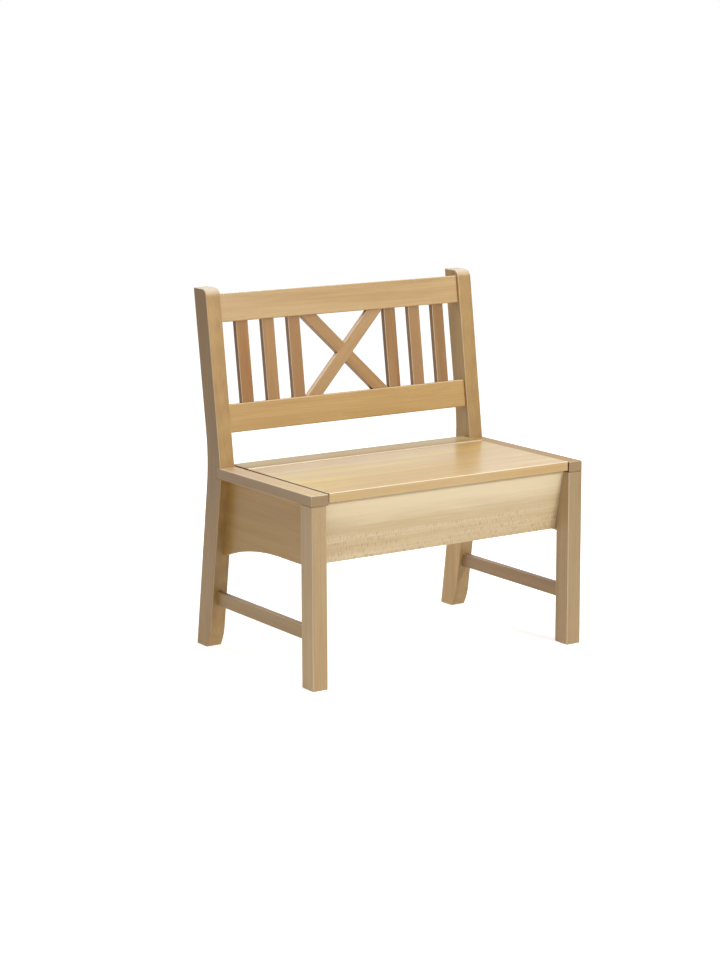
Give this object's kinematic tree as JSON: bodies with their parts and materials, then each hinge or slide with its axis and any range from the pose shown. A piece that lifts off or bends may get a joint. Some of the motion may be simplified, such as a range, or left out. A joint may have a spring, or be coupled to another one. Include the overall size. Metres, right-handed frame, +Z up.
{
  "type": "chest bench",
  "caption": "Wooden two-seat bench with a hinged seat lid over a shallow chest, square front legs, splayed rear legs and a raked back with upright slats and a cross.",
  "frame": {"origin": "on the floor under the middle of the bench's bounding box", "axes": "+Z up, -Y towards the sitter's front, +X to the right as seen from the front"},
  "size_m": [0.8, 0.5497, 0.907],
  "materials": {
    "beech": "clear satin lacquer",
    "dowel_beech": "bare",
    "hinge_brass": "satin",
    "screw_steel": "zinc plated",
    "bumper_plastic": "matte"
  },
  "bodies": {
    "frame": {"back_board": "beech", "back_board_dowels": "dowel_beech", "back_slat_1": "beech", "back_slat_2": "beech", "back_slat_3": "beech", "back_slat_4": "beech", "back_slat_5": "beech", "back_slat_6": "beech", "bottom_cleat_left": "beech", "bottom_cleat_right": "beech", "chest_bottom": "beech", "cleat_screws": "screw_steel", "cross_brace_falling": "beech", "cross_brace_rising": "beech", "front_leg_left": "beech", "front_leg_right": "beech", "front_panel": "beech", "front_panel_dowels": "dowel_beech", "hinge_leaf_fixed": "hinge_brass", "hinge_pin": "hinge_brass", "hinge_screws_fixed": "hinge_brass", "lid_bumpers": "bumper_plastic", "lower_back_rail": "beech", "rail_dowels": "dowel_beech", "rear_leg_left": "beech", "rear_leg_right": "beech", "rear_seat_strip": "beech", "side_panel_dowels": "dowel_beech", "side_panel_left": "beech", "side_panel_right": "beech", "side_rail_left": "beech", "side_rail_right": "beech", "side_stretcher_left": "beech", "side_stretcher_right": "beech", "top_back_rail": "beech"},
    "lid": {"seat_lid": "beech", "hinge_leaf_lid": "hinge_brass", "hinge_screws_lid": "hinge_brass"}
  },
  "joints": [
    {"name": "seat_lid_hinge", "type": "hinge", "parent": "frame", "child": "lid", "pos_m": [0, 0.092, 0.4718], "axis": [-1, 0, 0], "range_deg": [0, 108.1]}
  ]
}
